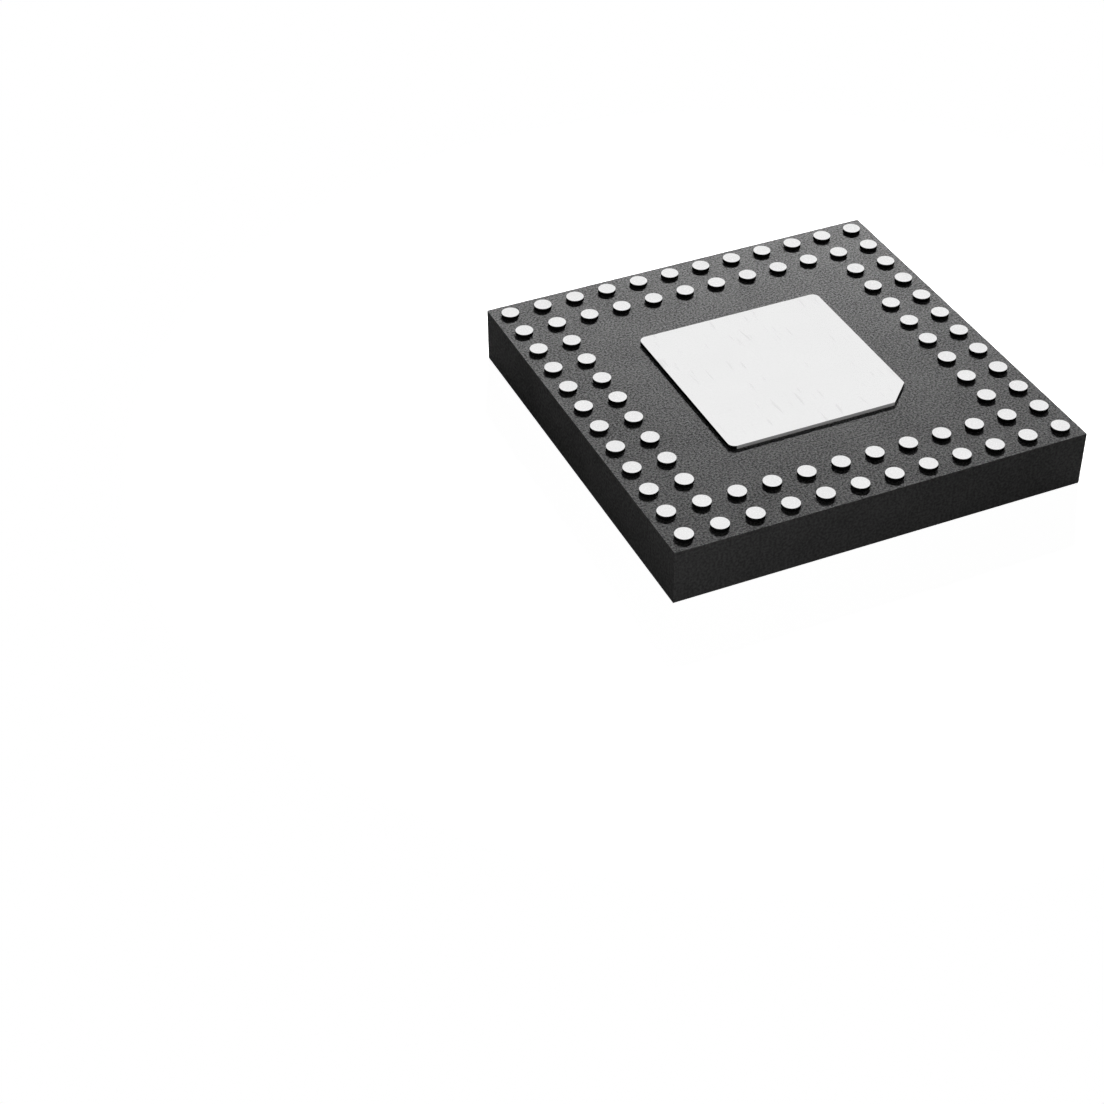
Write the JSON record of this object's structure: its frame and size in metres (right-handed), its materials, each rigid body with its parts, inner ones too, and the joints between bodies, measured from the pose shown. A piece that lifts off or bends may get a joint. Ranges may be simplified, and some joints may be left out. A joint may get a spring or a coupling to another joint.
{
  "type": "clock buffer chip",
  "caption": "Square black moulded chip with two rings of round solder lands and a chamfered thermal pad, lying on its blank marked face.",
  "frame": {"origin": "centre of the marked face, which the part lies on", "axes": "+X along the front side, towards the corner with the cut-off thermal pad; +Y to the back side; +Z out of the lands"},
  "size_m": [0.006, 0.006, 0.0009],
  "materials": {
    "mould_compound": "matte",
    "plated_copper": "satin",
    "die_attach": "matte",
    "silicon": "polished",
    "bond_wire": "polished"
  },
  "bodies": {
    "root": {"mould_body": "mould_compound", "thermal_paddle": "plated_copper", "die_attach_film": "die_attach", "silicon_die": "silicon", "outer_lands_front": "plated_copper", "outer_lands_right": "plated_copper", "outer_lands_back": "plated_copper", "outer_lands_left": "plated_copper", "inner_lands_front": "plated_copper", "inner_lands_right": "plated_copper", "inner_lands_back": "plated_copper", "inner_lands_left": "plated_copper", "outer_wires_front": "bond_wire", "outer_wires_right": "bond_wire", "outer_wires_back": "bond_wire", "outer_wires_left": "bond_wire", "inner_wires_front": "bond_wire", "inner_wires_right": "bond_wire", "inner_wires_back": "bond_wire", "inner_wires_left": "bond_wire", "ground_wires": "bond_wire"}
  },
  "joints": []
}
